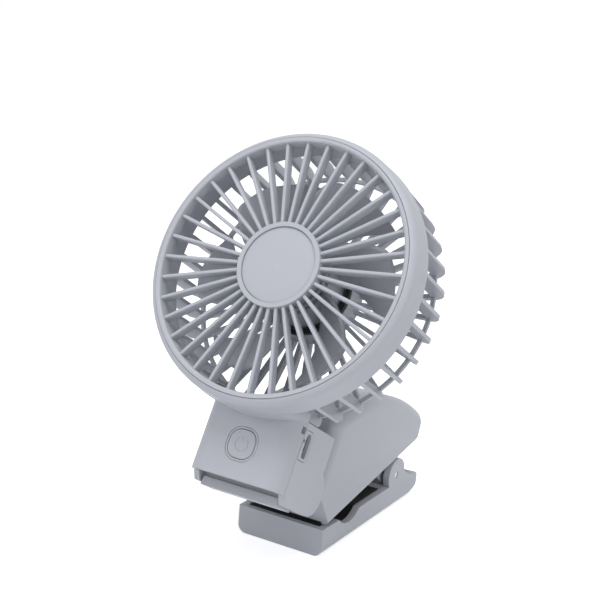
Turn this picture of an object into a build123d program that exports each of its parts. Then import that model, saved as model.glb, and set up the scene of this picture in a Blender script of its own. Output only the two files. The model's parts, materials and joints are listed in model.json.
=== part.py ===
"""Clip fan: a tilting fan head on a neck, carried by a sprung clip that also stands on its lower jaw.

Millimetres, +Z up, the fan faces -Y and its head leans back from upright, as it does at rest.
"""
from build123d import *
import os
from math import cos, pi, radians, sin, sqrt, tan

os.makedirs("parts", exist_ok=True)

# ---------------------------------------------------------------- driving dimensions
# clearances
fit = 0.1              # between fixed mouldings
running = 0.05         # radial, pins and shafts in their bores
clear = 0.3            # between faces that move past each other
seam = 0.15            # parting lines that show

# where the two hinges stand
pin_y, pin_z = 40.5, 14.6          # clip hinge
tilt_y, tilt_z = -33.5, 30.5       # head tilt axis
lean = 30                          # head leans back from upright, degrees

# fan ring and grille, measured from the grille's front plane
ring_radius, ring_depth = 53.0, 11.5
ring_lip, ring_round = 0.6, 3.3    # how much smaller the front edge is, and its rounding
ring_wall, ring_seat = 3.7, 3.0    # radial, round the bore and round the grille
rim_width, rim_depth, rim_round = 2.0, 5.0, 0.8
hub_radius, hub_depth, hub_setback = 16.4, 4.6, 0.4
cap_radius, cap_depth, cap_dome, cap_setback = 14.5, 1.6, 0.9, 1.0
spoke_count, spoke_width, spoke_depth, spoke_setback = 36, 1.35, 3.9, 1.1
spoke_start = 6.3                  # first spoke, degrees from +X
grille_radius = ring_radius - ring_seat
grille_inner = grille_radius - rim_width
bore_radius = ring_radius - ring_wall

# rear cage
cage_inset, cage_depth, cage_corner = 0.3, 37.5, 7.0
rib_count, rib_width, rib_reach, rib_rear = 36, 1.5, 5.6, 3.0
rib_inner_corner = 2.5
sleeve_wall, sleeve_end = 1.2, 12.6
tie_inset, tie_width, tie_rise = 4.9, 1.5, 3.3
mount_radius, mount_wall, mount_cup = 18.4, 2.0, 7.1
cage_radius = ring_radius - cage_inset
tie_setback = cage_depth - tie_rise

# motor, its places measured forwards from the back of the cage
shaft_radius, shaft_rise, shaft_length = 1.0, 3.5, 22.4
bush_radius, bush_length = 2.4, 3.0
post_radius, post_rise = 3.4, 12.1
stator_radius, stator_rise, stator_length, stator_slots = 8.0, 4.5, 6.6, 6
stator_arm, pole_wall, pole_share = 2.4, 1.28, 0.72
winding_wall, winding_gap = 0.85, 0.2
magnet_wall, magnet_gap = 1.6, 0.5
can_wall, can_rise = 0.8, 13.2
shaft_rear = cage_depth - shaft_rise
shaft_front = shaft_rear - shaft_length
post_front = cage_depth - post_rise
stator_rear = cage_depth - stator_rise
stator_front = stator_rear - stator_length
can_front = cage_depth - can_rise

# impeller
impeller_rise, impeller_length, impeller_radius, impeller_wall = 10.3, 18.2, 15.2, 1.6
socket_wall = 1.3
blade_count, blade_tip, blade_wall = 6, 40.0, 1.5
blade_rise, blade_height = 12.1, 14.8
impeller_rear = cage_depth - impeller_rise
impeller_front = impeller_rear - impeller_length
blade_rear = cage_depth - blade_rise
blade_front = blade_rear - blade_height
blade_middle = (blade_front + blade_rear) / 2
blade_sweep, blade_phase, blade_round = 34.5, 31.9, 5.0
blade_stations = [                 # share of the way out, chord, pitch
    (-0.04, 17.0, 59),
    (0.5, 25.0, 36),
    (1.04, 35.0, 23.5),
]
vent_count, vent_width, vent_start, vent_length = 24, 2.2, 1.8, 2.6
damper_width, damper_height = 1.5, 1.6

# clip body, in side view from the clip hinge (forward is negative)
body_half, body_wall = 19.4, 2.2
chin_back, chin_z = 58.4, 11.8
jaw_slope = 9.6
crown_v = 29.0                     # top of the front wall, up the neck
crown_back, crown_z = 15.1, 53.0
rear_top_y, rear_top_z = 24.0, 34.6
rear_low_y = 20.8
crown_round, tail_round, tail_low_round = 6.0, 6.5, 3.0
side_round = 5.0
web_low = 0.6
pillar_side, pillar_front, pillar_rear, pillar_radius = 13.0, 46.0, 20.0, 2.8
pillar_front_top, pillar_rear_top = 54.0, 52.3

# neck, measured from the tilt axis: out towards the face, and up the neck
neck_rise, head_reach = 18.0, 46.5  # ring's lowest point and the grille's front plane
neck_wall = 2.4
neck_front, neck_split, neck_back = 28.0, 21.6, 3.5
neck_round = 6.3
front_bottom = -5.4
cheek_radius, cheek_front = 8.8, 18.7
back_wall_bottom = 11.2
roof_inset, roof_wall = 0.2, 1.0
cover_front, cover_rear, cover_low, cover_thick = 18.4, 8.5, 9.8, 3.4
cover_step, cover_upstand, cover_upstand_wall, cover_round = 0.8, 4.0, 2.4, 1.0
recess_side, recess_up, recess_high, recess_deep = 1.8, 17.6, 2.6, 2.2
neck_half = body_half + fit
head_rise = ring_radius + neck_rise
roof_radius = cage_radius - roof_inset

# controls in the neck
button_up, button_size, button_corner, button_travel = 7.5, 10.7, 4.3, 0.4
bezel_size, bezel_corner, bezel_gap, bezel_edge = 12.9, 5.3, 0.2, 0.25
button_proud, button_round, flange_wall, flange_reach = 0.25, 0.3, 0.9, 0.85
board_front, board_wall, board_inset, board_low, board_high = 15.4, 1.2, 1.6, -2.0, 17.2
switch_size, switch_height, plunger_radius = 6.0, 3.6, 1.7
port_up, port_length, port_width, port_depth = 14.1, 8.94, 3.2, 6.5
port_shell, port_floor, tongue_wall, tongue_length = 0.35, 1.2, 0.7, 6.6
inlay_low, inlay_high, inlay_rear, inlay_wall, inlay_round = 8.4, 19.8, 14.2, 1.2, 1.2
slot_length, slot_width = 9.3, 3.4
led_up, led_out, led_radius, led_reach = 15.6, 20.2, 0.65, 0.6
boss_inset, boss_up, boss_radius, boss_front = 12.3, 14.5, 3.2, 17.0
screw_radius, screw_head, screw_head_height, screw_seat, screw_end = 1.0, 1.9, 1.1, 10.0, 22.0
board_half = neck_half - neck_wall - board_inset
boss_side = neck_half - boss_inset
port_out = board_front + port_width / 2 + fit
inlay_front = neck_split - seam - led_radius / 2

# tilt hinge
axle_radius, axle_cover = 2.0, 1.2  # wall left outside the axle's ends
knuckle_radius = 8.2
washer_radius, washer_wall = 6.0, 1.2
axle_half = neck_half - axle_cover
knuckle_half = neck_half - neck_wall - washer_wall - fit
nose_angle = -35                   # where the chin meets the cheek's hollow

# upper jaw plate, lugs and pads
plate_wall, plate_front, plate_rear = 4.0, 2.6, 9.0
screw_rise, body_screw_length = 2.9, 9.0
lug_inner, lug_outer, lug_radius, lug_front, lug_rear = 9.6, 14.6, 5.8, 15.4, 8.0
pad_inset, pad_wall, pad_proud = 3.4, 1.6, 0.2
pad_front, pad_rear = 0.9, 12.0
pad_half = body_half - pad_inset

# lower jaw
jaw_inset, jaw_front = 0.4, 62.4
jaw_floor, jaw_wall, jaw_front_wall = 2.5, 2.8, 2.4
jaw_front_z, jaw_top_z = 11.4, 10.9
bar_back, bar_z, bar_radius = 40.9, 19.3, 11.7
ear_radius = 7.2
handle_y, handle_z = 13.4, 10.6
tail_y, tail_z = 20.8, 10.0
tail_low_y, tail_low_z = 20.8, 4.2
foot_y = 12.0
keel_round, tail_end_round = 3.5, 2.2
jaw_half = body_half - jaw_inset
lower_pad_top, lower_pad_rear = 11.2, 11.0
bar_pad = 1.0
hinge_pin_radius, pin_recess, pin_edge = 1.5, 0.3, 0.2

# battery
cell_radius, cell_length, cell_back, cell_z, cell_slope = 9.15, 50.0, 25.4, 38.6, -8
cell_round = 0.6
terminal_radius, terminal_height = 2.8, 1.0
tab_wall, tab_half, tab_length = 0.3, 3.0, 14.0
saddle_wall, saddle_spread, saddle_half = 3.0, 15.0, 12.0
tray_wall, tray_half = 1.2, 8.0

# torsion spring
wire, coil_radius, coil_pitch, coil_turns = 1.2, 3.3, 1.85, 4
lower_leg_angle, lower_leg_length = -28, 16.6
upper_leg_angle, upper_leg_length = 30, 8.6
spring_arcs = 18                   # each about a quarter turn

# ---------------------------------------------------------------- frames
front = Vector(0, -cos(radians(lean)), sin(radians(lean)))
neck = Plane(origin=(0, tilt_y, tilt_z), x_dir=(1, 0, 0), z_dir=front)
face = Plane(origin=neck.from_local_coords(Vector(0, head_rise, head_reach)), x_dir=(1, 0, 0), z_dir=front)
section = Plane(origin=face.origin, x_dir=(1, 0, 0), z_dir=-face.y_dir)      # radius, out of the face
flank = Plane(origin=neck.origin, x_dir=front, z_dir=(-1, 0, 0))             # out of the neck, up the neck
fan_axis = Axis(face.origin, face.z_dir)
side = Plane.YZ


def neck_plan(up):
    """Plane across the neck at a height up it; its x is the width and its y points rearwards."""
    return Plane(origin=neck.from_local_coords(Vector(0, up, 0)), x_dir=(1, 0, 0), z_dir=neck.y_dir)


def on_side(up, out):
    """Side-view point (Y, Z) of a place up and out of the neck."""
    point = neck.from_local_coords(Vector(0, up, out))
    return point.Y, point.Z


def round_tilt(radius, angle):
    """Side-view point round the tilt axis."""
    return tilt_y + radius * cos(radians(angle)), tilt_z + radius * sin(radians(angle))


def on_jaw(y, up):
    """Side-view point at y, up from the straight underside of the clip body."""
    rise = (y - pin_y + chin_back) * tan(radians(jaw_slope))
    return y, chin_z + rise + up / cos(radians(jaw_slope))


def save(part, name):
    part.part.label = name
    export_step(part.part, f"parts/{name}.step")


# ---------------------------------------------------------------- front shell: ring and neck front
collar_rear = head_reach - neck_split
neck_top = head_rise - bore_radius + 1
lip_radius = ring_radius - ring_lip
lip_drop = ring_round - sqrt(ring_round**2 - (grille_radius - lip_radius + ring_round) ** 2)

with BuildPart() as front_shell:
    with BuildSketch(section):
        with BuildLine():
            Polyline(
                (grille_radius, -lip_drop),
                (grille_radius, -rim_depth),
                (bore_radius, -rim_depth),
                (bore_radius, -ring_depth),
                (ring_radius, -ring_depth),
                (lip_radius, -ring_round),
            )
            RadiusArc((lip_radius, -ring_round), (grille_radius, -lip_drop), -ring_round)
        make_face()
    revolve(axis=fan_axis)
    # neck front, rounded where it turns into the sides
    with BuildSketch(neck_plan(front_bottom)) as plan:
        with Locations((0, -(neck_front + neck_split) / 2)):
            Rectangle(2 * neck_half, neck_front - neck_split)
        fillet(plan.vertices().sort_by(Axis.Y)[:2], neck_round)
    extrude(amount=neck_top - front_bottom)
    # collar that carries the ring down onto the neck
    with BuildSketch(face.offset(-collar_rear)):
        Circle(ring_radius)
        with Locations((0, -ring_radius)):
            Rectangle(2 * neck_half, ring_radius, mode=Mode.INTERSECT)
    extrude(amount=collar_rear - ring_depth + 1)
    # fan chamber through the collar
    with BuildSketch(face.offset(-collar_rear - 1)):
        Circle(bore_radius)
    extrude(amount=collar_rear + 1 - rim_depth, mode=Mode.SUBTRACT)
    # hollow behind the neck front
    with BuildSketch(neck_plan(front_bottom - 1)):
        with Locations((0, -(neck_front - neck_wall + neck_split) / 2)):
            Rectangle(2 * (neck_half - neck_wall), neck_front - neck_wall - neck_split)
    extrude(amount=head_rise - ring_radius - front_bottom, mode=Mode.SUBTRACT)
    # button opening
    with BuildSketch(neck.offset(neck_front - neck_wall - 1)):
        with Locations((0, button_up)):
            RectangleRounded(bezel_size, bezel_size, bezel_corner)
    extrude(amount=neck_wall + 2, mode=Mode.SUBTRACT)
    # small recess in the right-hand edge, under the ring
    with BuildSketch(neck_plan(recess_up)):
        with Locations((neck_half, -neck_split)):
            Rectangle(2 * recess_side, 2 * recess_deep)
    extrude(amount=recess_high, mode=Mode.SUBTRACT)
save(front_shell, "front_shell")

# ---------------------------------------------------------------- grille and its centre cap
spoke_reach = (grille_inner + rim_width / 2, hub_radius - 1)
with BuildPart() as spoke:
    with BuildSketch(Plane.XZ):
        with Locations((sum(spoke_reach) / 2, -spoke_setback - spoke_depth / 2)):
            Rectangle(spoke_reach[0] - spoke_reach[1], spoke_depth)
    extrude(amount=spoke_width / 2, both=True)
    fillet(spoke.edges().filter_by(Axis.X).group_by(Axis.Z)[-1], spoke_width * 0.4)

with BuildPart() as front_grille:
    with BuildSketch(section):
        with BuildLine():
            Polyline(
                (grille_inner + rim_round, 0),
                (grille_radius - seam, 0),
                (grille_radius - seam, -rim_depth),
                (grille_inner, -rim_depth),
                (grille_inner, -rim_round),
            )
            RadiusArc((grille_inner, -rim_round), (grille_inner + rim_round, 0), rim_round)
        make_face()
        with BuildLine():
            Polyline(
                (0, -cap_setback - cap_depth),
                (cap_radius + seam, -cap_setback - cap_depth),
                (cap_radius + seam, -hub_setback),
                (hub_radius, -hub_setback),
                (hub_radius, -hub_setback - hub_depth),
                (0, -hub_setback - hub_depth),
                close=True,
            )
        make_face()
    revolve(axis=fan_axis)
    with Locations(face):
        with PolarLocations(0, spoke_count, start_angle=spoke_start):
            add(spoke.part)
save(front_grille, "front_grille")

dome_radius = (cap_radius**2 + cap_dome**2) / (2 * cap_dome)
with BuildPart() as centre_cap:
    with BuildSketch(section):
        with BuildLine():
            rim = Line((cap_radius, -cap_setback - cap_depth), (cap_radius, -cap_setback))
            Line((0, -cap_setback - cap_depth), rim @ 0)
            dome = RadiusArc(rim @ 1, (0, -cap_setback + cap_dome), -dome_radius)
            Line(dome @ 1, (0, -cap_setback - cap_depth))
        make_face()
    revolve(axis=fan_axis)
save(centre_cap, "centre_cap")

# ---------------------------------------------------------------- rear cage and motor mount
rib_inner = cage_radius - rib_reach
sleeve_inner = bore_radius - fit - sleeve_wall
sleeve_front = rim_depth + fit
cage_floor = -cage_depth + rib_rear
cup_top = cage_floor + mount_cup

with BuildPart() as rib:
    with BuildSketch(Plane.XZ) as rib_profile:
        with BuildLine():
            Polyline(
                (sleeve_inner, -ring_depth - fit),
                (cage_radius, -ring_depth - fit),
                (cage_radius, -cage_depth),
                (mount_radius - 1, -cage_depth),
                (mount_radius - 1, cage_floor),
                (rib_inner, cage_floor),
                (rib_inner, -sleeve_end - 1),
                close=True,
            )
        make_face()
        fillet(rib_profile.vertices().sort_by_distance((cage_radius, -cage_depth))[0], cage_corner)
        fillet(rib_profile.vertices().sort_by_distance((rib_inner, cage_floor))[0], rib_inner_corner)
    extrude(amount=rib_width / 2, both=True)

with BuildPart() as rear_cage:
    with BuildSketch(section):
        # sleeve inside the ring
        with Locations((sleeve_inner + sleeve_wall / 2, -(sleeve_front + sleeve_end) / 2)):
            Rectangle(sleeve_wall, sleeve_end - sleeve_front)
        # thin ring that ties the ribs
        with Locations((cage_radius - tie_inset, -tie_setback)):
            Rectangle(tie_width, tie_width)
        # motor mount: floor, cup and bearing post
        with BuildLine():
            Polyline(
                (0, -cage_depth),
                (mount_radius, -cage_depth),
                (mount_radius, cup_top),
                (mount_radius - mount_wall, cup_top),
                (mount_radius - mount_wall, cage_floor),
                (post_radius, cage_floor),
                (post_radius, -post_front),
                (bush_radius, -post_front),
                (bush_radius, -shaft_rear - fit),
                (0, -shaft_rear - fit),
                close=True,
            )
        make_face()
    revolve(axis=fan_axis)
    with Locations(face):
        with PolarLocations(0, rib_count, start_angle=spoke_start + 180 / rib_count):
            add(rib.part)
    # clear of the collar and the roof of the neck
    for start, radius in ((-collar_rear - fit, bore_radius - fit), (-cage_depth - 1, roof_radius - clear)):
        with BuildSketch(face.offset(start)):
            Circle(cage_radius + 1)
            Circle(radius, mode=Mode.SUBTRACT)
            with Locations((0, -ring_radius)):
                Rectangle(2 * neck_half + 4 * clear, ring_radius, mode=Mode.INTERSECT)
        extrude(amount=cage_depth + 1, mode=Mode.SUBTRACT)
save(rear_cage, "rear_cage")

with BuildPart() as motor_damper:
    with BuildSketch(section):
        with Locations((mount_radius - mount_wall / 2, cup_top + damper_height / 2)):
            Rectangle(damper_width, damper_height)
    revolve(axis=fan_axis)
save(motor_damper, "motor_damper")

# ---------------------------------------------------------------- motor
with BuildPart() as motor_bushes:
    with BuildSketch(section):
        for middle in (post_front + bush_length / 2, shaft_rear - bush_length / 2):
            with Locations(((bush_radius + shaft_radius + running) / 2, -middle)):
                Rectangle(bush_radius - shaft_radius - running, bush_length)
    revolve(axis=fan_axis)
save(motor_bushes, "motor_bushes")

with BuildPart() as motor_shaft:
    with BuildSketch(face.offset(-shaft_rear)):
        Circle(shaft_radius)
    extrude(amount=shaft_rear - shaft_front)
    chamfer(motor_shaft.edges().filter_by(GeomType.CIRCLE), pin_edge)
save(motor_shaft, "motor_shaft")

tooth = radians(360 / stator_slots)
arm_end = stator_radius - pole_wall / 2
with BuildPart() as motor_stator:
    with BuildSketch(face.offset(-stator_rear)):
        Circle(post_radius + stator_arm / 2)
        with PolarLocations((arm_end + post_radius) / 2, stator_slots):
            Rectangle(arm_end - post_radius, stator_arm)
        with PolarLocations(arm_end, stator_slots):
            Rectangle(pole_wall, stator_radius * tooth * pole_share)
        Circle(stator_radius, mode=Mode.INTERSECT)
        Circle(post_radius, mode=Mode.SUBTRACT)
    extrude(amount=stator_rear - stator_front)
save(motor_stator, "motor_stator")

winding_start = post_radius + stator_arm / 2 + winding_gap
winding_end = stator_radius - pole_wall - winding_gap
with BuildPart() as motor_windings:
    with BuildSketch(face.offset(-stator_rear - winding_wall)):
        with PolarLocations((winding_start + winding_end) / 2, stator_slots):
            Rectangle(winding_end - winding_start, stator_arm + 2 * winding_wall)
    extrude(amount=stator_rear - stator_front + 2 * winding_wall)
    with BuildSketch(face.offset(-stator_rear)):
        with PolarLocations((winding_start + winding_end) / 2, stator_slots):
            Rectangle(winding_end - winding_start + 1, stator_arm)
    extrude(amount=stator_rear - stator_front, mode=Mode.SUBTRACT)
save(motor_windings, "motor_windings")

magnet_inner = stator_radius + magnet_gap
magnet_outer = magnet_inner + magnet_wall
can_radius = magnet_outer + can_wall
with BuildPart() as rotor_magnet:
    with BuildSketch(face.offset(-stator_rear)):
        Circle(magnet_outer)
        Circle(magnet_inner, mode=Mode.SUBTRACT)
    extrude(amount=stator_rear - stator_front)
save(rotor_magnet, "rotor_magnet")

with BuildPart() as rotor_can:
    with BuildSketch(face.offset(-stator_rear - can_wall / 2)):
        Circle(can_radius)
    extrude(amount=stator_rear + can_wall / 2 - can_front + can_wall)
    with BuildSketch(face.offset(-stator_rear - can_wall / 2)):
        Circle(magnet_outer)
    extrude(amount=stator_rear + can_wall / 2 - can_front, mode=Mode.SUBTRACT)
    with BuildSketch(face.offset(-stator_rear)):
        Circle(shaft_radius)
    extrude(amount=stator_rear, mode=Mode.SUBTRACT)
save(rotor_can, "rotor_can")

# ---------------------------------------------------------------- impeller
blade_root = impeller_radius - impeller_wall / 2
with BuildPart() as blade:
    for share, chord, pitch in blade_stations:
        radial = Vector(1, 0, 0).rotate(Axis.Z, -blade_sweep * share)
        reach = impeller_radius + share * (blade_tip - impeller_radius)
        middle = radial * reach - Vector(0, 0, blade_middle)
        with BuildSketch(Plane(origin=middle, x_dir=radial.rotate(Axis.Z, 90), z_dir=radial)):
            SlotOverall(chord, blade_wall, rotation=pitch)
    loft()
    # trimmed to the hub and the tip circle, with the tip's front corner rounded
    with BuildSketch(Plane.XZ) as swept:
        with Locations(((blade_root + blade_tip) / 2, -(blade_front + blade_rear) / 2)):
            Rectangle(blade_tip - blade_root, blade_rear - blade_front)
        fillet(swept.vertices().sort_by_distance((blade_tip, -blade_front))[0], blade_round)
    revolve(axis=Axis.Z, mode=Mode.INTERSECT)

can_socket = can_radius + socket_wall
shaft_socket = shaft_radius + impeller_wall
impeller_floor = -impeller_front - impeller_wall
with BuildPart() as impeller:
    with BuildSketch(section):
        with BuildLine():
            Polyline(
                (shaft_radius, -can_front + can_wall),
                (shaft_socket, -can_front + can_wall),
                (shaft_socket, impeller_floor),
                (can_radius, impeller_floor),
                (can_radius, -impeller_rear),
                (can_socket, -impeller_rear),
                (can_socket, impeller_floor),
                (impeller_radius - impeller_wall, impeller_floor),
                (impeller_radius - impeller_wall, -impeller_rear),
                (impeller_radius, -impeller_rear),
                (impeller_radius, -impeller_front),
                (0, -impeller_front),
                (0, -shaft_front),
                (shaft_radius, -shaft_front),
                close=True,
            )
        make_face()
    revolve(axis=fan_axis)
    # row of small openings round the side wall
    with BuildSketch(face.offset(-impeller_front - vent_start - vent_length)):
        with PolarLocations(impeller_radius - impeller_wall / 2, vent_count):
            Rectangle(2 * impeller_wall, vent_width)
    extrude(amount=vent_length, mode=Mode.SUBTRACT)
    with Locations(face):
        with PolarLocations(0, blade_count, start_angle=blade_phase):
            add(blade.part)
save(impeller, "impeller")

# ---------------------------------------------------------------- neck rear shell
shell_front = neck_split - seam
cheek_inner = neck_half - neck_wall
with BuildPart() as neck_rear_shell:
    with BuildSketch(flank):
        with BuildLine():
            Polyline(
                (0, -cheek_radius),
                (cheek_front, -cheek_radius),
                (shell_front, front_bottom),
                (shell_front, neck_top),
                (-neck_back, neck_top),
                (-neck_back, sqrt(cheek_radius**2 - neck_back**2)),
            )
            ThreePointArc(
                (-neck_back, sqrt(cheek_radius**2 - neck_back**2)),
                (-cheek_radius, 0),
                (0, -cheek_radius),
            )
        make_face()
    extrude(amount=neck_half, both=True)
    # hollow
    with BuildSketch(flank):
        with BuildLine():
            Polyline(
                (neck_wall - neck_back, back_wall_bottom),
                (-2 * cheek_radius, back_wall_bottom),
                (-2 * cheek_radius, -2 * cheek_radius),
                (neck_front, -2 * cheek_radius),
                (neck_front, 2 * neck_top),
                (neck_wall - neck_back, 2 * neck_top),
                close=True,
            )
        make_face()
    extrude(amount=cheek_inner, both=True, mode=Mode.SUBTRACT)
    # roof under the cage
    with BuildSketch(face.offset(-collar_rear - seam)):
        Circle(roof_radius + roof_wall)
        with Locations((0, -ring_radius)):
            Rectangle(2 * neck_half, ring_radius + 10, mode=Mode.INTERSECT)
    extrude(amount=-(shell_front + neck_back))
    with BuildSketch(face.offset(-collar_rear + 1)):
        Circle(roof_radius)
    extrude(amount=-(shell_front + neck_back + 2), mode=Mode.SUBTRACT)
    # screw bosses
    with BuildSketch(neck.offset(-neck_back + neck_wall / 2)):
        with Locations((boss_side, boss_up), (-boss_side, boss_up)):
            Circle(boss_radius)
    extrude(amount=boss_front + neck_back - neck_wall / 2)
    with BuildSketch(neck.offset(-neck_back - 1)):
        with Locations((boss_side, boss_up), (-boss_side, boss_up)):
            Circle(screw_head + fit)
    extrude(amount=neck_back + 1 + screw_seat, mode=Mode.SUBTRACT)
    with BuildSketch(neck):
        with Locations((boss_side, boss_up), (-boss_side, boss_up)):
            Circle(screw_radius + fit)
    extrude(amount=boss_front + 1, mode=Mode.SUBTRACT)
    # blind seats for the tilt axle
    with BuildSketch(side):
        with Locations((tilt_y, tilt_z)):
            Circle(axle_radius)
    extrude(amount=axle_half, both=True, mode=Mode.SUBTRACT)
    # pocket, slot and light hole for the charging port
    with BuildSketch(flank.offset(-neck_half)):
        with Locations(((inlay_rear + inlay_front) / 2, (inlay_low + inlay_high) / 2)):
            RectangleRounded(inlay_front - inlay_rear, inlay_high - inlay_low, inlay_round)
    extrude(amount=inlay_wall, mode=Mode.SUBTRACT)
    with BuildSketch(flank.offset(-neck_half)):
        with Locations((port_out, port_up)):
            SlotOverall(slot_length, slot_width, rotation=90)
        with Locations((led_out, led_up)):
            Circle(led_radius)
    extrude(amount=neck_wall + 1, mode=Mode.SUBTRACT)
save(neck_rear_shell, "neck_rear_shell")

with BuildPart() as neck_cover:
    with BuildSketch(flank):
        with BuildLine():
            Polyline(
                (cover_rear, -cover_low),
                (cover_front, -cover_low),
                (cover_front, -cover_low + cover_thick),
                (cover_front - cover_step, -cover_low + cover_thick),
                (cover_front - cover_step, -cover_low + cover_thick + cover_upstand),
                (cover_front - cover_step - cover_upstand_wall, -cover_low + cover_thick + cover_upstand),
                (cover_front - cover_step - cover_upstand_wall, -cover_low + cover_thick),
                (cover_rear, -cover_low + cover_thick),
                close=True,
            )
        make_face()
    extrude(amount=cheek_inner - fit, both=True)
    upright = neck_cover.edges().filter_by(Axis(neck.origin, neck.y_dir))
    fillet(upright.group_by(Axis(neck.origin, neck.z_dir))[-1], cover_round)
save(neck_cover, "neck_cover")

# ---------------------------------------------------------------- controls
with BuildPart() as button_bezel:
    with BuildSketch(neck.offset(neck_front - neck_wall)):
        with Locations((0, button_up)):
            RectangleRounded(bezel_size, bezel_size, bezel_corner)
            RectangleRounded(button_size + 2 * bezel_gap, button_size + 2 * bezel_gap,
                             button_corner + bezel_gap, mode=Mode.SUBTRACT)
    extrude(amount=neck_wall)
    chamfer(button_bezel.faces().sort_by(Axis(neck.origin, neck.z_dir))[-1].outer_wire().edges(), bezel_edge)
save(button_bezel, "button_bezel")

flange_front = neck_front - neck_wall - fit
flange_rear = flange_front - flange_wall
with BuildPart() as power_button:
    with BuildSketch(neck.offset(flange_rear)):
        with Locations((0, button_up)):
            RectangleRounded(button_size + 2 * flange_reach, button_size + 2 * flange_reach,
                             button_corner + flange_reach)
    extrude(amount=flange_wall)
    with BuildSketch(neck.offset(flange_rear)):
        with Locations((0, button_up)):
            RectangleRounded(button_size, button_size, button_corner)
    extrude(amount=neck_front + button_proud - flange_rear)
    fillet(power_button.faces().sort_by(Axis(neck.origin, neck.z_dir))[-1].edges(), button_round)
save(power_button, "power_button")

with BuildPart() as control_board:
    with BuildSketch(neck.offset(board_front - board_wall)):
        with Locations((0, (board_low + board_high) / 2)):
            Rectangle(2 * board_half, board_high - board_low)
        with Locations((boss_side, boss_up), (-boss_side, boss_up)):
            Circle(boss_radius + fit, mode=Mode.SUBTRACT)
    extrude(amount=board_wall)
save(control_board, "control_board")

with BuildPart() as button_switch:
    with BuildSketch(neck.offset(board_front)):
        with Locations((0, button_up)):
            Rectangle(switch_size, switch_size)
    extrude(amount=switch_height)
    with BuildSketch(neck.offset(board_front + switch_height)):
        with Locations((0, button_up)):
            Circle(plunger_radius)
    extrude(amount=flange_rear - button_travel - fit - board_front - switch_height)
save(button_switch, "button_switch")

port_face = neck_half - inlay_wall - fit
with BuildPart() as usb_c_port:
    with BuildSketch(flank.offset(-port_face)):
        with Locations((port_out, port_up)):
            SlotOverall(port_length, port_width, rotation=90)
    extrude(amount=port_depth)
    with BuildSketch(flank.offset(-port_face)):
        with Locations((port_out, port_up)):
            SlotOverall(port_length - 2 * port_shell, port_width - 2 * port_shell, rotation=90)
            Rectangle(tongue_wall, tongue_length, mode=Mode.SUBTRACT)
    extrude(amount=port_depth - port_floor, mode=Mode.SUBTRACT)
save(usb_c_port, "usb_c_port")

with BuildPart() as port_inlay:
    with BuildSketch(flank.offset(-neck_half)):
        with Locations(((inlay_rear + inlay_front) / 2, (inlay_low + inlay_high) / 2)):
            RectangleRounded(inlay_front - inlay_rear - 2 * seam, inlay_high - inlay_low - 2 * seam,
                             inlay_round - seam)
        with Locations((port_out, port_up)):
            SlotOverall(slot_length, slot_width, rotation=90, mode=Mode.SUBTRACT)
        with Locations((led_out, led_up)):
            Circle(led_radius, mode=Mode.SUBTRACT)
    extrude(amount=inlay_wall)
save(port_inlay, "port_inlay")

with BuildPart() as charge_light:
    with BuildSketch(flank.offset(-neck_half + fit)):
        with Locations((led_out, led_up)):
            Circle(led_radius)
    extrude(amount=neck_wall + led_reach)
save(charge_light, "charge_light")

with BuildPart() as neck_screws:
    with BuildSketch(neck.offset(screw_seat - screw_head_height)):
        with Locations((boss_side, boss_up), (-boss_side, boss_up)):
            Circle(screw_head)
    extrude(amount=screw_head_height)
    with BuildSketch(neck.offset(screw_seat)):
        with Locations((boss_side, boss_up), (-boss_side, boss_up)):
            Circle(screw_radius)
    extrude(amount=screw_end - screw_seat)
save(neck_screws, "neck_screws")

# ---------------------------------------------------------------- tilt hinge
with BuildPart() as tilt_axle:
    with BuildSketch(side):
        with Locations((tilt_y, tilt_z)):
            Circle(axle_radius)
    extrude(amount=axle_half, both=True)
save(tilt_axle, "tilt_axle")

with BuildPart() as tilt_washers:
    with BuildSketch(side.offset(knuckle_half + fit)):
        with Locations((tilt_y, tilt_z)):
            Circle(washer_radius)
            Circle(axle_radius, mode=Mode.SUBTRACT)
    extrude(amount=cheek_inner - knuckle_half - fit)
    mirror(about=side)
save(tilt_washers, "tilt_washers")

# ---------------------------------------------------------------- clip body
hollow_radius = cheek_radius + clear
wall_out = -neck_back - clear
chin_y = pin_y - chin_back
heel = on_side(sqrt(hollow_radius**2 - wall_out**2), wall_out)
nose = round_tilt(hollow_radius, nose_angle)
crown_front = on_side(crown_v, wall_out)
rear_top = (pin_y + rear_top_y, rear_top_z)
rear_low = on_jaw(pin_y + rear_low_y, 0)

with BuildSketch(side) as body_profile:
    with BuildLine():
        Line((chin_y, chin_z), nose)
        ThreePointArc(nose, round_tilt(hollow_radius, 0), heel)
        Line(heel, crown_front)
        ThreePointArc(crown_front, (pin_y - crown_back, crown_z), rear_top)
        Polyline(rear_top, rear_low, (chin_y, chin_z))
    make_face()
    fillet(body_profile.vertices().sort_by_distance(rear_top)[0], tail_round)

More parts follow.
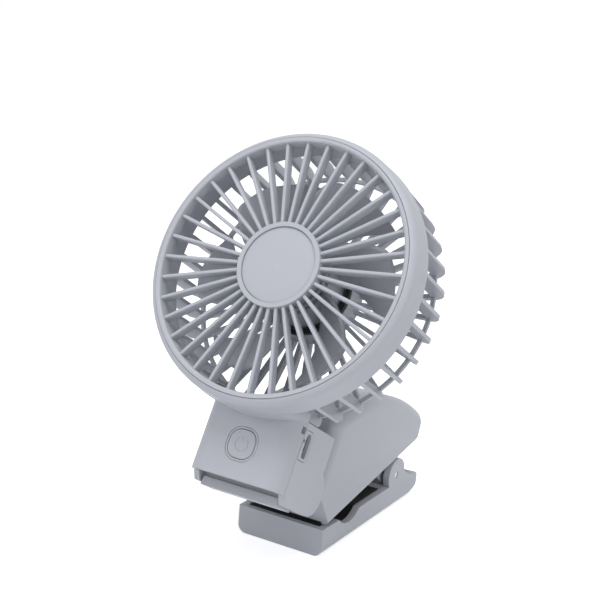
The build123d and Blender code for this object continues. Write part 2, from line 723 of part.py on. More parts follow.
pillars = [(pin_y - pillar_front, pillar_front_top), (pin_y - pillar_rear, pillar_rear_top)]
with BuildPart() as body_shell:
    extrude(body_profile.sketch, amount=body_half, both=True)
    for flank_face in body_shell.faces().filter_by(Axis.X):
        long_edges = flank_face.edges().filter_by(lambda edge: (edge @ 0.5).Z > rear_low[1] + 1)
        fillet(long_edges.filter_by(lambda edge: (edge @ 0.5).Y > crown_front[0] + 1), side_round)
    fillet(body_shell.edges().filter_by(Axis.X).sort_by_distance((0, *crown_front))[0], crown_round)
    fillet(body_shell.edges().filter_by(Axis.X).sort_by_distance((0, *rear_low))[0], tail_low_round)
    # cavity, with the underside open for the base plate
    with BuildSketch(side):
        add(body_profile.sketch_local)
        offset(amount=-body_wall, mode=Mode.REPLACE)
        with BuildLine():
            Polyline(
                on_jaw(chin_y + plate_front, -1),
                on_jaw(pin_y + plate_rear, -1),
                on_jaw(pin_y + plate_rear, body_wall + 1),
                on_jaw(chin_y + plate_front, body_wall + 1),
                close=True,
            )
        make_face()
    extrude(amount=body_half - body_wall, both=True, mode=Mode.SUBTRACT)
    # knuckle between the cheeks, on a short web
    with BuildSketch(side):
        with Locations((tilt_y, tilt_z)):
            Circle(knuckle_radius)
        with BuildLine():
            Polyline(
                on_side(knuckle_radius, 0),
                on_side(knuckle_radius, -hollow_radius),
                on_side(-web_low, -hollow_radius),
                on_side(-web_low, 0),
                close=True,
            )
        make_face()
    extrude(amount=knuckle_half, both=True)
    with BuildSketch(side):
        with Locations((tilt_y, tilt_z)):
            Circle(axle_radius + running)
    extrude(amount=knuckle_half, both=True, mode=Mode.SUBTRACT)
    # screw pillars down from the roof
    for y, top in pillars:
        foot = on_jaw(y + pillar_radius, plate_wall + fit)[1]
        with BuildSketch(Plane.XY.offset(foot)):
            with Locations((-pillar_side, y), (pillar_side, y)):
                Circle(pillar_radius)
                Circle(screw_radius + fit, mode=Mode.SUBTRACT)
        extrude(amount=top - foot)
    # room for the ears of the lower jaw, and for the pad's front edge
    with BuildSketch(side):
        with Locations((pin_y, pin_z)):
            Circle(ear_radius + clear)
    extrude(amount=body_half + 1, both=True, mode=Mode.SUBTRACT)
    with BuildSketch(side):
        with BuildLine():
            Polyline(
                on_jaw(chin_y - 1, -1),
                on_jaw(chin_y + plate_front + 1, -1),
                on_jaw(chin_y + plate_front + 1, pad_wall - pad_proud),
                on_jaw(chin_y - 1, pad_wall - pad_proud),
                close=True,
            )
        make_face()
    extrude(amount=pad_half + fit, both=True, mode=Mode.SUBTRACT)
save(body_shell, "body_shell")

# base plate of the body, with the two lugs of the clip hinge
with BuildPart() as body_base:
    with BuildSketch(side):
        with BuildLine():
            Polyline(
                on_jaw(chin_y + plate_front + fit, 0),
                on_jaw(pin_y + plate_rear - fit, 0),
                on_jaw(pin_y + plate_rear - fit, plate_wall),
                on_jaw(chin_y + plate_front + fit, plate_wall),
                close=True,
            )
        make_face()
    extrude(amount=body_half - body_wall - fit, both=True)
    for hand in (-1, 1):
        with BuildSketch(side.offset(hand * lug_inner)):
            with Locations((pin_y, pin_z)):
                Circle(lug_radius)
            with BuildLine():
                Line(on_jaw(pin_y - lug_front, 1), on_jaw(pin_y + lug_rear, 1))
            make_hull()
        extrude(amount=hand * (lug_outer - lug_inner))
        with BuildSketch(side.offset(hand * (jaw_half - jaw_wall - clear))):
            with Locations((pin_y, pin_z)):
                Circle(ear_radius + clear)
        extrude(amount=hand * body_half, mode=Mode.SUBTRACT)
    with BuildSketch(side):
        with Locations((pin_y, pin_z)):
            Circle(hinge_pin_radius + running)
    extrude(amount=body_half, both=True, mode=Mode.SUBTRACT)
    # seat for the pad, and the screws above it
    with BuildSketch(side):
        with BuildLine():
            Polyline(
                on_jaw(chin_y, -1),
                on_jaw(pin_y - pad_rear, -1),
                on_jaw(pin_y - pad_rear, pad_wall - pad_proud),
                on_jaw(chin_y, pad_wall - pad_proud),
                close=True,
            )
        make_face()
    extrude(amount=pad_half + fit, both=True, mode=Mode.SUBTRACT)
    for y, top in pillars:
        seat = on_jaw(y, screw_rise)[1]
        with BuildSketch(Plane.XY.offset(seat)):
            with Locations((-pillar_side, y), (pillar_side, y)):
                Circle(screw_radius + fit)
        extrude(amount=plate_wall, mode=Mode.SUBTRACT)
        with BuildSketch(Plane.XY.offset(seat)):
            with Locations((-pillar_side, y), (pillar_side, y)):
                Circle(screw_head + fit)
        extrude(amount=-2 * plate_wall, mode=Mode.SUBTRACT)
save(body_base, "body_base")

with BuildPart() as upper_jaw_pad:
    with BuildSketch(side):
        with BuildLine():
            Polyline(
                on_jaw(chin_y + pad_front, -pad_proud),
                on_jaw(pin_y - pad_rear - fit, -pad_proud),
                on_jaw(pin_y - pad_rear - fit, pad_wall - pad_proud),
                on_jaw(chin_y + pad_front, pad_wall - pad_proud),
                close=True,
            )
        make_face()
    extrude(amount=pad_half, both=True)
save(upper_jaw_pad, "upper_jaw_pad")

with BuildPart() as body_screws:
    for y, top in pillars:
        seat = on_jaw(y, screw_rise)[1]
        with BuildSketch(Plane.XY.offset(seat)):
            with Locations((-pillar_side, y), (pillar_side, y)):
                Circle(screw_radius)
        extrude(amount=body_screw_length)
        with BuildSketch(Plane.XY.offset(seat)):
            with Locations((-pillar_side, y), (pillar_side, y)):
                Circle(screw_head)
        extrude(amount=-screw_head_height)
save(body_screws, "body_screws")

# ---------------------------------------------------------------- battery
cell = Plane(
    origin=(0, pin_y - cell_back, cell_z),
    x_dir=(1, 0, 0),
    z_dir=(0, cos(radians(cell_slope)), sin(radians(cell_slope))),
)
with BuildPart() as battery_cell:
    with BuildSketch(cell):
        Circle(cell_radius)
    extrude(amount=cell_length / 2, both=True)
    fillet(battery_cell.edges().filter_by(GeomType.CIRCLE), cell_round)
    with BuildSketch(cell.offset(-cell_length / 2)):
        Circle(terminal_radius)
    extrude(amount=-terminal_height)
save(battery_cell, "battery_cell")

with BuildPart() as cell_tabs:
    with BuildSketch(cell.offset(cell_length / 2)):
        Rectangle(2 * tab_half, tab_length)
    extrude(amount=tab_wall)
    with BuildSketch(cell.offset(-cell_length / 2 - terminal_height)):
        Rectangle(2 * tab_half, tab_length)
    extrude(amount=-tab_wall)
save(cell_tabs, "cell_tabs")

holder_front, holder_rear = pin_y - cell_back - saddle_spread, pin_y - cell_back + saddle_spread
with BuildPart() as cell_holder:
    with BuildSketch(side):
        with BuildLine():
            Polyline(
                on_jaw(holder_front, plate_wall),
                on_jaw(holder_rear, plate_wall),
                on_jaw(holder_rear, plate_wall + tray_wall),
                on_jaw(holder_front, plate_wall + tray_wall),
                close=True,
            )
        make_face()
    extrude(amount=tray_half, both=True)
    for y in (holder_front, holder_rear):
        with BuildSketch(side):
            with BuildLine():
                Polyline(
                    on_jaw(y - saddle_wall / 2, plate_wall),
                    on_jaw(y + saddle_wall / 2, plate_wall),
                    (y + saddle_wall / 2, cell_z + (y - pin_y + cell_back) * tan(radians(cell_slope))),
                    (y - saddle_wall / 2, cell_z + (y - pin_y + cell_back) * tan(radians(cell_slope))),
                    close=True,
                )
            make_face()
        extrude(amount=saddle_half, both=True)
    with BuildSketch(cell):
        Circle(cell_radius + fit)
    extrude(amount=cell_length, both=True, mode=Mode.SUBTRACT)
save(cell_holder, "cell_holder")

# ---------------------------------------------------------------- lower jaw
jaw_tip = pin_y - jaw_front
bar_y = pin_y - bar_back
with BuildSketch(side) as jaw_profile:
    with BuildLine():
        Polyline(
            (jaw_tip, 0),
            (jaw_tip, jaw_front_z),
            (jaw_tip + jaw_front_wall, jaw_front_z),
            (bar_y, jaw_top_z),
            (pin_y, jaw_top_z),
            (pin_y + ear_radius, pin_z),
            (pin_y + handle_y, handle_z),
            (pin_y + tail_y, tail_z),
            (pin_y + tail_low_y, tail_low_z),
            (pin_y + foot_y, 0),
            close=True,
        )
    make_face()
    for corner in ((pin_y + tail_y, tail_z), (pin_y + tail_low_y, tail_low_z)):
        fillet(jaw_profile.vertices().sort_by_distance(corner)[0], tail_end_round)
    with Locations((bar_y, bar_z)):
        Circle(bar_radius, mode=Mode.SUBTRACT)
    with Locations((pin_y, pin_z)):
        Circle(ear_radius)

deck_top = lower_pad_top - pad_wall
with BuildPart() as lower_jaw:
    extrude(jaw_profile.sketch, amount=jaw_half, both=True)
    fillet(lower_jaw.edges().filter_by(Axis.Y).group_by(Axis.Z)[0], keel_round)
    # bed of the pad, dipping under a bar
    with BuildSketch(side):
        with Locations((bar_y, bar_z)):
            Circle(bar_radius + bar_pad + pad_wall)
        with BuildLine():
            Polyline(
                (jaw_tip + jaw_front_wall, deck_top),
                (pin_y + 2 * tail_y, deck_top),
                (pin_y + 2 * tail_y, 3 * pin_z),
                (jaw_tip + jaw_front_wall, 3 * pin_z),
                close=True,
            )
        make_face()
    extrude(amount=jaw_half - jaw_wall, both=True, mode=Mode.SUBTRACT)
    # open channel behind the bed, and the hollow handle
    with BuildSketch(side):
        with BuildLine():
            Polyline(
                (pin_y - lower_pad_rear, jaw_floor),
                (pin_y + foot_y, jaw_floor),
                (pin_y + tail_low_y - jaw_front_wall, tail_low_z + jaw_floor),
                (pin_y + tail_y - jaw_front_wall, 3 * pin_z),
                (pin_y - lower_pad_rear, 3 * pin_z),
                close=True,
            )
        make_face()
    extrude(amount=jaw_half - jaw_wall, both=True, mode=Mode.SUBTRACT)
    with BuildSketch(side):
        with Locations((pin_y, pin_z)):
            Circle(hinge_pin_radius)
    extrude(amount=jaw_half, both=True, mode=Mode.SUBTRACT)
save(lower_jaw, "lower_jaw")

with BuildPart() as lower_jaw_pad:
    with BuildSketch(side):
        with Locations((bar_y, bar_z)):
            Circle(bar_radius + bar_pad + pad_wall)
        with BuildLine():
            Polyline(
                (jaw_tip, -1),
                (pin_y, -1),
                (pin_y, lower_pad_top),
                (jaw_tip, lower_pad_top),
                close=True,
            )
        make_face(mode=Mode.INTERSECT)
        with BuildLine():
            Polyline(
                (jaw_tip + jaw_front_wall + fit, deck_top),
                (pin_y - lower_pad_rear, deck_top),
                (pin_y - lower_pad_rear, lower_pad_top),
                (jaw_tip + jaw_front_wall + fit, lower_pad_top),
                close=True,
            )
        make_face()
        with Locations((bar_y, bar_z)):
            Circle(bar_radius + bar_pad, mode=Mode.SUBTRACT)
    extrude(amount=jaw_half - jaw_wall - fit, both=True)
save(lower_jaw_pad, "lower_jaw_pad")

with BuildPart() as hinge_pin:
    with BuildSketch(side):
        with Locations((pin_y, pin_z)):
            Circle(hinge_pin_radius)
    extrude(amount=jaw_half - pin_recess, both=True)
    chamfer(hinge_pin.edges().filter_by(GeomType.CIRCLE), pin_edge)
save(hinge_pin, "hinge_pin")

# ---------------------------------------------------------------- torsion spring
lower_leave, upper_leave = lower_leg_angle + 270, upper_leg_angle + 90
turned = coil_turns * 360 + lower_leave - upper_leave


def on_coil(angle):
    """Point and heading of the coil's centre line, an angle on from the lower leg."""
    place = radians(lower_leave - angle)
    point = Vector(
        coil_pitch * (angle - turned / 2) / 360,
        pin_y + coil_radius * cos(place),
        pin_z + coil_radius * sin(place),
    )
    advance = coil_pitch / (2 * pi * coil_radius) if 0 < angle < turned else 0
    return point, Vector(advance, sin(place), -cos(place)).normalized()


def arc_joint(start, leaving, end, arriving):
    """Point where two arcs meet between two headings."""
    chord = end - start
    both = leaving + arriving
    spare = 4 - both.dot(both)
    reach = (sqrt(chord.dot(both) ** 2 + spare * chord.dot(chord)) - chord.dot(both)) / spare
    return (start + leaving * reach + end - arriving * reach) * 0.5


with BuildLine() as spring_path:
    point, heading = on_coil(0)
    lower_leg = Line(point - heading * lower_leg_length, point)
    for count in range(spring_arcs):
        ahead, arriving = on_coil(turned * (count + 1) / spring_arcs)
        joint = arc_joint(point, heading, ahead, arriving)
        first = TangentArc(point, joint, tangent=heading)
        TangentArc(joint, ahead, tangent=first % 1)
        point, heading = ahead, arriving
    Line(point, point + heading * upper_leg_length)

with BuildPart() as torsion_spring:
    with BuildSketch(Plane(origin=lower_leg @ 0, z_dir=lower_leg % 0)):
        Circle(wire / 2)
    sweep(path=spring_path.wire())
save(torsion_spring, "torsion_spring")

wire_path = spring_path.wire()
beads = [wire_path @ (count / 500) for count in range(501)]
far = int(500 * 2 * coil_radius / wire_path.length)
self_gap = min((a - b).length for i, a in enumerate(beads) for b in beads[i + far:]) - wire
print(f"torsion spring: least gap to itself {self_gap:.2f} mm")
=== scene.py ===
import json
import math
import bpy
import bmesh
from mathutils import Matrix, Vector

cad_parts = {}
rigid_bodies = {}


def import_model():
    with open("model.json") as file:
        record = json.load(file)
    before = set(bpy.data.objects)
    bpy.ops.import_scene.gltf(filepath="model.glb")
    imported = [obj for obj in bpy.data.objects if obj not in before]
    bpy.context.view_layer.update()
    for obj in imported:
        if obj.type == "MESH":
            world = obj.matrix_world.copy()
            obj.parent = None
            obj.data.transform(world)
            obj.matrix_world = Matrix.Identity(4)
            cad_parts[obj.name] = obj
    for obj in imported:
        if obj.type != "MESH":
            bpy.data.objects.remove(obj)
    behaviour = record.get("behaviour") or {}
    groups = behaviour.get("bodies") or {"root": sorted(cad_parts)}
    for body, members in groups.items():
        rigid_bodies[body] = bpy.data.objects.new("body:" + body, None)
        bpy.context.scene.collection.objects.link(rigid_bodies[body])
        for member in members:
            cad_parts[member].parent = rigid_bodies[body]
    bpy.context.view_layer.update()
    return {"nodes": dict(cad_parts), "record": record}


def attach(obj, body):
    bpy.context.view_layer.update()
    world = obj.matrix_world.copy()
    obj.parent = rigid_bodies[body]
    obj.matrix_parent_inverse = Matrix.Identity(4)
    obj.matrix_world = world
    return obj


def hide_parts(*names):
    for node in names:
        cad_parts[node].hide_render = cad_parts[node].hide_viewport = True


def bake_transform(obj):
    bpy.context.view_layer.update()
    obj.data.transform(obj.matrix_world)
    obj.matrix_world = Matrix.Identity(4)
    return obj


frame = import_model()
nodes = frame["nodes"]
print("frame loaded with", len(nodes), "pieces")

joints = {joint["name"]: joint for joint in frame["record"]["behaviour"]["joints"]}

# where the neck and the fan head stand, in metres
neck = {
    "axis": joints["head_tilt"]["pos_m"],  # middle of the tilt axle
    "lean": 30,  # degrees back from upright
    "front": 0.028,  # neck front, out from the axle
    "buttonUp": 0.0075,
    "buttonProud": 0.00025,
    "markSunk": 0.00004,  # power mark, into the button
}
lean = math.radians(neck["lean"])
outward = Vector((0, -math.cos(lean), math.sin(lean)))
upward = Vector((0, math.sin(lean), math.cos(lean)))
across = Vector((1, 0, 0))


def onNeck(x, up, out):
    return Vector(neck["axis"]) + across * x + upward * up + outward * out


def neckMatrix(x, up, out):
    turned = Matrix((across, upward, outward)).transposed().to_4x4()
    return Matrix.Translation(onNeck(x, up, out)) @ turned


# ---- materials


def newMaterial(name):
    material = bpy.data.materials.new(name)
    material.use_nodes = True
    tree = material.node_tree
    return material, tree, tree.nodes["Principled BSDF"]


def noiseOn(tree, coords, scale, detail=3, stretch=(1, 1, 1)):
    mapping = tree.nodes.new("ShaderNodeMapping")
    mapping.inputs["Scale"].default_value = stretch
    tree.links.new(coords.outputs["Object"], mapping.inputs["Vector"])
    noise = tree.nodes.new("ShaderNodeTexNoise")
    noise.inputs["Scale"].default_value = scale
    noise.inputs["Detail"].default_value = detail
    tree.links.new(mapping.outputs["Vector"], noise.inputs["Vector"])
    return noise


def colourBetween(tree, noise, dark, light, low=0.3, high=0.7):
    ramp = tree.nodes.new("ShaderNodeValToRGB")
    ramp.color_ramp.elements[0].position = low
    ramp.color_ramp.elements[0].color = (*dark, 1)
    ramp.color_ramp.elements[1].position = high
    ramp.color_ramp.elements[1].color = (*light, 1)
    tree.links.new(noise.outputs["Fac"], ramp.inputs["Fac"])
    return ramp


def valueBetween(tree, noise, low, high):
    spread = tree.nodes.new("ShaderNodeMapRange")
    spread.inputs["From Min"].default_value = 0.3
    spread.inputs["From Max"].default_value = 0.7
    spread.inputs["To Min"].default_value = low
    spread.inputs["To Max"].default_value = high
    tree.links.new(noise.outputs["Fac"], spread.inputs["Value"])
    return spread


def roughSpread(look):
    return look["roughness"] - look["smoother"], look["roughness"] + look["rougher"]


def bumpFrom(tree, height, depth, strength, softEdge=0):
    bump = tree.nodes.new("ShaderNodeBump")
    bump.inputs["Strength"].default_value = strength
    bump.inputs["Distance"].default_value = depth
    tree.links.new(height, bump.inputs["Height"])
    if softEdge:
        bevel = tree.nodes.new("ShaderNodeBevel")
        bevel.samples = 4
        bevel.inputs["Radius"].default_value = softEdge
        tree.links.new(bevel.outputs["Normal"], bump.inputs["Normal"])
    return bump


def mouldedPlastic(name, look):
    material, tree, shader = newMaterial(name)
    coords = tree.nodes.new("ShaderNodeTexCoord")
    cloud = noiseOn(tree, coords, look["cloudScale"])
    grain = noiseOn(tree, coords, look["grainScale"], detail=2)
    flow = noiseOn(tree, coords, look["flowScale"], stretch=(1, 0.25, 1))
    base = Vector(look["colour"])
    tint = colourBetween(tree, cloud, base * (1 - look["shade"]), base * (1 + look["shade"]))
    speck = colourBetween(tree, grain, look["speckColour"], (1, 1, 1), *look["speckSpread"])
    blend = tree.nodes.new("ShaderNodeMix")
    blend.data_type = "RGBA"
    blend.blend_type = "MULTIPLY"
    blend.inputs["Factor"].default_value = 1
    tree.links.new(tint.outputs["Color"], blend.inputs["A"])
    tree.links.new(speck.outputs["Color"], blend.inputs["B"])
    tree.links.new(blend.outputs["Result"], shader.inputs["Base Color"])
    rough = valueBetween(tree, flow, *roughSpread(look))
    tree.links.new(rough.outputs["Result"], shader.inputs["Roughness"])
    bump = bumpFrom(tree, grain.outputs["Fac"], look["grainDepth"], look["grainStrength"], look["softEdge"])
    tree.links.new(bump.outputs["Normal"], shader.inputs["Normal"])
    shader.inputs["Specular IOR Level"].default_value = look["specular"]
    return material


def rubberPad(name, look):
    material, tree, shader = newMaterial(name)
    coords = tree.nodes.new("ShaderNodeTexCoord")
    dust = noiseOn(tree, coords, look["dustScale"], detail=5)
    pebble = tree.nodes.new("ShaderNodeTexVoronoi")
    pebble.inputs["Scale"].default_value = look["pebbleScale"]
    tree.links.new(coords.outputs["Object"], pebble.inputs["Vector"])
    tint = colourBetween(tree, dust, look["colour"], look["dusty"], *look["dustSpread"])
    tree.links.new(tint.outputs["Color"], shader.inputs["Base Color"])
    rough = valueBetween(tree, dust, *look["roughness"])
    tree.links.new(rough.outputs["Result"], shader.inputs["Roughness"])
    bump = bumpFrom(tree, pebble.outputs["Distance"], look["pebbleDepth"], look["pebbleStrength"])
    tree.links.new(bump.outputs["Normal"], shader.inputs["Normal"])
    return material


def drawnMetal(name, look):
    material, tree, shader = newMaterial(name)
    coords = tree.nodes.new("ShaderNodeTexCoord")
    lines = noiseOn(tree, coords, look["lineScale"], detail=4, stretch=look["stretch"])
    stain = noiseOn(tree, coords, look["stainScale"])
    base = Vector(look["colour"])
    tint = colourBetween(tree, stain, base * look["stained"], base * look["bright"])
    tree.links.new(tint.outputs["Color"], shader.inputs["Base Color"])
    rough = valueBetween(tree, lines, *roughSpread(look))
    tree.links.new(rough.outputs["Result"], shader.inputs["Roughness"])
    bump = bumpFrom(tree, lines.outputs["Fac"], look["lineDepth"], look["lineStrength"])
    tree.links.new(bump.outputs["Normal"], shader.inputs["Normal"])
    shader.inputs["Metallic"].default_value = look["metallic"]
    return material


def windingWire(name, look):
    material, tree, shader = newMaterial(name)
    coords = tree.nodes.new("ShaderNodeTexCoord")
    turns = tree.nodes.new("ShaderNodeTexWave")
    turns.wave_profile = "SIN"
    turns.bands_direction = "DIAGONAL"
    turns.inputs["Scale"].default_value = look["turnScale"]
    turns.inputs["Distortion"].default_value = look["waver"]
    tree.links.new(coords.outputs["Object"], turns.inputs["Vector"])
    # painted shade: the grooves between wire turns get the darker gap colour, a shaded copy of the copper
    tint = colourBetween(tree, turns, look["gap"], look["colour"], *look["grooveShadeSpread"])
    tree.links.new(tint.outputs["Color"], shader.inputs["Base Color"])
    bump = bumpFrom(tree, turns.outputs["Fac"], look["turnDepth"], look["turnStrength"])
    tree.links.new(bump.outputs["Normal"], shader.inputs["Normal"])
    shader.inputs["Roughness"].default_value = look["roughness"]
    shader.inputs["Metallic"].default_value = look["metallic"]
    return material


def circuitBoard(name, look):
    material, tree, shader = newMaterial(name)
    coords = tree.nodes.new("ShaderNodeTexCoord")
    tracks = tree.nodes.new("ShaderNodeTexBrick")
    tracks.inputs["Scale"].default_value = look["trackScale"]
    tracks.inputs["Mortar Size"].default_value = look["edgeWidth"]
    tracks.inputs["Color1"].default_value = (*look["colour"], 1)
    tracks.inputs["Color2"].default_value = (*look["trackColour"], 1)
    tracks.inputs["Mortar"].default_value = (*look["edgeColour"], 1)
    tree.links.new(coords.outputs["Object"], tracks.inputs["Vector"])
    tree.links.new(tracks.outputs["Color"], shader.inputs["Base Color"])
    bump = bumpFrom(tree, tracks.outputs["Fac"], look["trackDepth"], look["trackStrength"])
    tree.links.new(bump.outputs["Normal"], shader.inputs["Normal"])
    shader.inputs["Roughness"].default_value = look["roughness"]
    return material


caseLook = {
    "colour": (0.47, 0.485, 0.525),
    "shade": 0.012,
    "cloudScale": 18,
    "grainScale": 2600,
    "flowScale": 45,
    "speckColour": (0.97, 0.97, 0.97),
    "speckSpread": (0.35, 0.5),
    "roughness": 0.47,
    "smoother": 0.04,
    "rougher": 0.05,
    "grainDepth": 0.00003,
    "grainStrength": 0.12,
    "softEdge": 0.00035,
    "specular": 0.42,
}
fanLook = dict(caseLook, colour=(0.46, 0.47, 0.51), roughness=0.42, grainStrength=0.06)
holderLook = dict(caseLook, colour=(0.62, 0.62, 0.60), roughness=0.5)
nylonLook = dict(caseLook, colour=(0.72, 0.71, 0.67), roughness=0.38)
smokedLook = dict(caseLook, colour=(0.05, 0.05, 0.055), roughness=0.15, grainStrength=0.02)
switchLook = dict(caseLook, colour=(0.03, 0.03, 0.032), roughness=0.4)
cellLook = dict(caseLook, colour=(0.06, 0.14, 0.30), roughness=0.24, grainStrength=0.03)
rubberLook = {
    "colour": (0.012, 0.012, 0.014),
    "dusty": (0.028, 0.028, 0.03),
    "dustScale": 220,
    "dustSpread": (0.4, 0.8),
    "roughness": (0.62, 0.8),
    "pebbleScale": 1800,
    "pebbleDepth": 0.00006,
    "pebbleStrength": 0.35,
}
steelLook = {
    "colour": (0.58, 0.59, 0.61),
    "stained": 0.86,
    "bright": 1.05,
    "stainScale": 180,
    "lineScale": 900,
    "stretch": (0.1, 1, 1),
    "lineDepth": 0.00002,
    "lineStrength": 0.3,
    "roughness": 0.32,
    "smoother": 0.08,
    "rougher": 0.1,
    "metallic": 1,
}
magnetLook = dict(steelLook, colour=(0.06, 0.06, 0.065), roughness=0.6, metallic=0.4)
windingLook = {
    "colour": (0.62, 0.24, 0.09),
    # gap and its spread: painted shade, darker copper laid into the grooves between turns
    "gap": (0.12, 0.04, 0.015),
    "grooveShadeSpread": (0.1, 0.6),
    "turnScale": 900,
    "waver": 0.4,
    "turnDepth": 0.0001,
    "turnStrength": 0.8,
    "roughness": 0.3,
    "metallic": 0.85,
}
boardLook = {
    "colour": (0.01, 0.09, 0.03),
    "trackColour": (0.015, 0.13, 0.045),
    "edgeColour": (0.02, 0.17, 0.06),
    "edgeWidth": 0.03,
    "trackScale": 260,
    "trackDepth": 0.00003,
    "trackStrength": 0.4,
    "roughness": 0.3,
}

finishes = {
    "case": mouldedPlastic("greyCasePlastic", caseLook),
    "fan_plastic": mouldedPlastic("greyFanPlastic", fanLook),
    "inner_plastic": mouldedPlastic("paleHolderPlastic", holderLook),
    "nylon": mouldedPlastic("naturalNylon", nylonLook),
    "light_pipe": mouldedPlastic("smokedLightPipe", smokedLook),
    "switch_body": mouldedPlastic("blackSwitchPlastic", switchLook),
    "cell_wrap": mouldedPlastic("cellShrinkSleeve", cellLook),
    "black_rubber": rubberPad("blackPadRubber", rubberLook),
    "board": circuitBoard("greenCircuitBoard", boardLook),
    "winding_copper": windingWire("copperWinding", windingLook),
    "port_steel": drawnMetal("platedPortShell", dict(steelLook, roughness=0.25)),
    "zinc_steel": drawnMetal("zincScrew", steelLook),
    "pin_steel": drawnMetal("groundPin", dict(steelLook, colour=(0.62, 0.62, 0.63), roughness=0.22)),
    "spring_steel": drawnMetal("springWire", dict(steelLook, colour=(0.34, 0.34, 0.35), roughness=0.3)),
    "rotor_steel": drawnMetal("platedRotorCan", dict(steelLook, colour=(0.50, 0.50, 0.52))),
    "lamination": drawnMetal("stackedLamination", dict(steelLook, colour=(0.20, 0.20, 0.22), roughness=0.5)),
    "magnet": drawnMetal("sinteredMagnet", magnetLook),
    "bronze": drawnMetal("sinteredBronze", dict(steelLook, colour=(0.45, 0.28, 0.12), roughness=0.4)),
    "nickel": drawnMetal("nickelStrip", dict(steelLook, colour=(0.60, 0.57, 0.52), roughness=0.3)),
}

for entry in frame["record"]["subparts"]:
    node = nodes[entry["node"]]
    for place in node.material_slots:
        place.material = finishes[entry["material_slot"]]
print("materials given to", len(nodes), "pieces")

# ---- raised power mark on the button

powerMark = {
    "radius": 0.0026,
    "line": 0.00030,
    "opening": 56,  # degrees left open at the top
    "stem": 0.0021,
    "stemDrop": 0.35,  # middle of the stem below the ring's line, as a share of the stem
    "height": 0.00009,
    "steps": 40,
}


def deselectAll():
    bpy.ops.object.select_all(action="DESELECT")


def finishPiece(piece, body, material):
    piece.data.materials.clear()
    piece.data.materials.append(finishes[material])
    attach(piece, body)


def addPowerMark(mark):
    inner = mark["radius"] - mark["line"] / 2
    outer = mark["radius"] + mark["line"] / 2
    stemMiddle = (0, mark["radius"] - mark["stem"] * mark["stemDrop"], 0)
    deselectAll()
    bpy.ops.mesh.primitive_circle_add(vertices=mark["steps"], radius=inner)
    ring = bpy.context.object
    ring.name = "powerMark"
    bpy.ops.object.mode_set(mode="EDIT")
    mesh = bmesh.from_edit_mesh(ring.data)
    gap = math.radians(mark["opening"] / 2)
    lost = [v for v in mesh.verts if abs(math.atan2(v.co.x, v.co.y)) < gap]
    bmesh.ops.delete(mesh, geom=lost, context="VERTS")
    bmesh.update_edit_mesh(ring.data)
    bpy.ops.mesh.select_all(action="SELECT")
    bpy.ops.mesh.extrude_edges_move()
    bpy.ops.transform.resize(value=(outer / inner, outer / inner, 1), center_override=(0, 0, 0))
    bpy.ops.mesh.primitive_plane_add(size=1, location=stemMiddle)
    bpy.ops.transform.resize(value=(mark["line"], mark["stem"], 1), center_override=stemMiddle)
    bpy.ops.mesh.select_all(action="SELECT")
    bpy.ops.mesh.extrude_region_move(TRANSFORM_OT_translate={"value": (0, 0, mark["height"])})
    bpy.ops.mesh.select_all(action="SELECT")
    bpy.ops.mesh.normals_make_consistent(inside=False)
    bpy.ops.object.mode_set(mode="OBJECT")
    buttonFace = neck["front"] + neck["buttonProud"]
    ring.data.transform(neckMatrix(0, neck["buttonUp"], buttonFace - neck["markSunk"]))
    return ring


finishPiece(addPowerMark(powerMark), "button", "case")
print("power mark added")

# ---- clip spring, wound between the lower jaw and the clip body


def windSpring():
    deselectAll()
    still = nodes["torsion_spring"]
    still.select_set(True)
    bpy.context.view_layer.objects.active = still
    bpy.ops.object.duplicate()
    wound = bpy.context.object
    wound.name = "woundSpring"
    bpy.ops.object.parent_clear(type="CLEAR_KEEP_TRANSFORM")
    for key in [k for k in wound.keys() if k.startswith("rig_")]:
        del wound[key]
    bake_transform(wound)
    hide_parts("torsion_spring")


windSpring()
print("clip spring wound")

# ---- camera at the photograph's viewing angle

view = {
    "place": (0.23157, -0.42791, 0.21954),
    "azimuth": 29.444,
    "elevation": 14.583,
    "roll": 4.438,
    "lens": 77.36,
    "sensor": 36,
    "near": 0.01,
}


def addCamera(view):
    a, e, roll = (math.radians(view[key]) for key in ("azimuth", "elevation", "roll"))
    right = Vector((math.cos(a), math.sin(a), 0))
    up = Vector((-math.sin(a) * math.sin(e), math.cos(a) * math.sin(e), math.cos(e)))
    ahead = Vector((-math.sin(a) * math.cos(e), math.cos(a) * math.cos(e), -math.sin(e)))
    tippedRight = right * math.cos(roll) + up * math.sin(roll)
    tippedUp = up * math.cos(roll) - right * math.sin(roll)
    data = bpy.data.cameras.new("photoCamera")
    data.sensor_width = view["sensor"]
    data.lens = view["lens"]
    data.clip_start = view["near"]
    camera = bpy.data.objects.new("photoCamera", data)
    bpy.context.scene.collection.objects.link(camera)
    turned = Matrix((tippedRight, tippedUp, -ahead)).transposed().to_4x4()
    camera.matrix_world = Matrix.Translation(Vector(view["place"])) @ turned
    bpy.context.scene.camera = camera


addCamera(view)

# ---- floor, lamps and white surroundings

studio = {
    "floorSize": 6.0,
    "floorDrop": 0.00005,
    "floorColour": (0.86, 0.86, 0.87),
    "floorTooth": 400,
    "toothShade": 0.99,
    "floorRoughness": 0.9,
    "floorSpecular": 0.1,
    "floorLift": 0.60,
    "fill": (0.94, 0.95, 1.0),
    "fillStrength": 0.50,
}
lamps = [
    {"name": "topLamp", "place": (0.1, -0.25, 1.25), "aim": (0, 0, 0.08), "size": 1.1, "power": 8.5},
    {"name": "frontLamp", "place": (-0.75, -1.1, 0.75), "aim": (0, 0, 0.09), "size": 0.8, "power": 3.0},
    {"name": "sideLamp", "place": (1.1, -0.35, 0.55), "aim": (0, 0, 0.08), "size": 0.7, "power": 1.6},
]


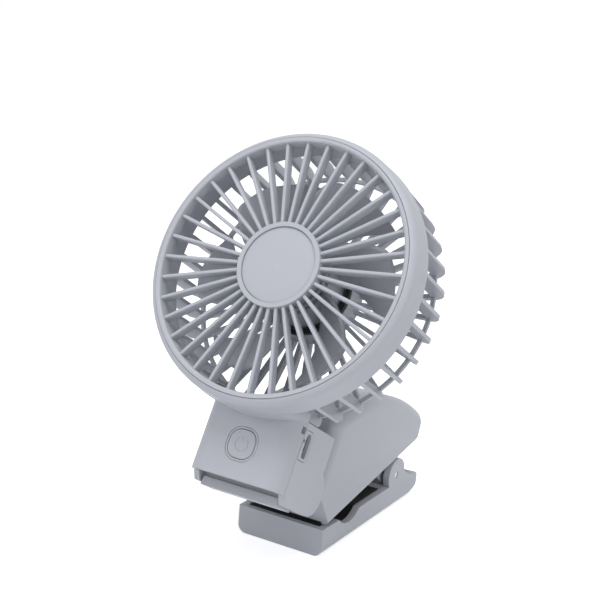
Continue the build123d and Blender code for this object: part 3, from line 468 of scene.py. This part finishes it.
def seenRays(tree):
    path = tree.nodes.new("ShaderNodeLightPath")
    first = tree.nodes.new("ShaderNodeMath")
    first.operation = "MAXIMUM"
    tree.links.new(path.outputs["Is Camera Ray"], first.inputs[0])
    tree.links.new(path.outputs["Is Glossy Ray"], first.inputs[1])
    both = tree.nodes.new("ShaderNodeMath")
    both.operation = "MAXIMUM"
    tree.links.new(first.outputs[0], both.inputs[0])
    tree.links.new(path.outputs["Is Transmission Ray"], both.inputs[1])
    return both.outputs[0]


def addFloor(studio):
    deselectAll()
    bpy.ops.mesh.primitive_plane_add(size=studio["floorSize"], location=(0, 0, -studio["floorDrop"]))
    floor = bpy.context.object
    floor.name = "paleFloor"
    material, tree, shader = newMaterial("paleFloorPaper")
    shader.inputs["Roughness"].default_value = studio["floorRoughness"]
    shader.inputs["Specular IOR Level"].default_value = studio["floorSpecular"]
    coords = tree.nodes.new("ShaderNodeTexCoord")
    tooth = noiseOn(tree, coords, studio["floorTooth"])
    pale = Vector(studio["floorColour"])
    tint = colourBetween(tree, tooth, pale * studio["toothShade"], pale)
    tree.links.new(tint.outputs["Color"], shader.inputs["Base Color"])
    shader.inputs["Emission Color"].default_value = (1, 1, 1, 1)
    lift = tree.nodes.new("ShaderNodeMath")
    lift.operation = "MULTIPLY"
    lift.inputs[1].default_value = studio["floorLift"]
    tree.links.new(seenRays(tree), lift.inputs[0])
    tree.links.new(lift.outputs[0], shader.inputs["Emission Strength"])
    floor.data.materials.append(material)


def addWorld(studio):
    world = bpy.data.worlds.new("whiteSurround")
    bpy.context.scene.world = world
    world.use_nodes = True
    tree = world.node_tree
    plain = tree.nodes["Background"]
    plain.inputs["Color"].default_value = (*studio["fill"], 1)
    plain.inputs["Strength"].default_value = studio["fillStrength"]
    white = tree.nodes.new("ShaderNodeBackground")
    white.inputs["Color"].default_value = (1, 1, 1, 1)
    white.inputs["Strength"].default_value = 1
    choose = tree.nodes.new("ShaderNodeMixShader")
    tree.links.new(seenRays(tree), choose.inputs["Fac"])
    tree.links.new(plain.outputs["Background"], choose.inputs[1])
    tree.links.new(white.outputs["Background"], choose.inputs[2])
    tree.links.new(choose.outputs["Shader"], tree.nodes["World Output"].inputs["Surface"])


def addLamp(lamp):
    data = bpy.data.lights.new(lamp["name"], "AREA")
    data.shape = "DISK"
    data.size = lamp["size"]
    data.energy = lamp["power"]
    lampObject = bpy.data.objects.new(lamp["name"], data)
    bpy.context.scene.collection.objects.link(lampObject)
    lampObject.location = lamp["place"]
    aim = Vector(lamp["aim"]) - Vector(lamp["place"])
    lampObject.rotation_euler = aim.to_track_quat("-Z", "Y").to_euler()


addFloor(studio)
addWorld(studio)
for lamp in lamps:
    addLamp(lamp)
bpy.context.scene.view_settings.view_transform = "Standard"
print("camera, floor and lamps set")
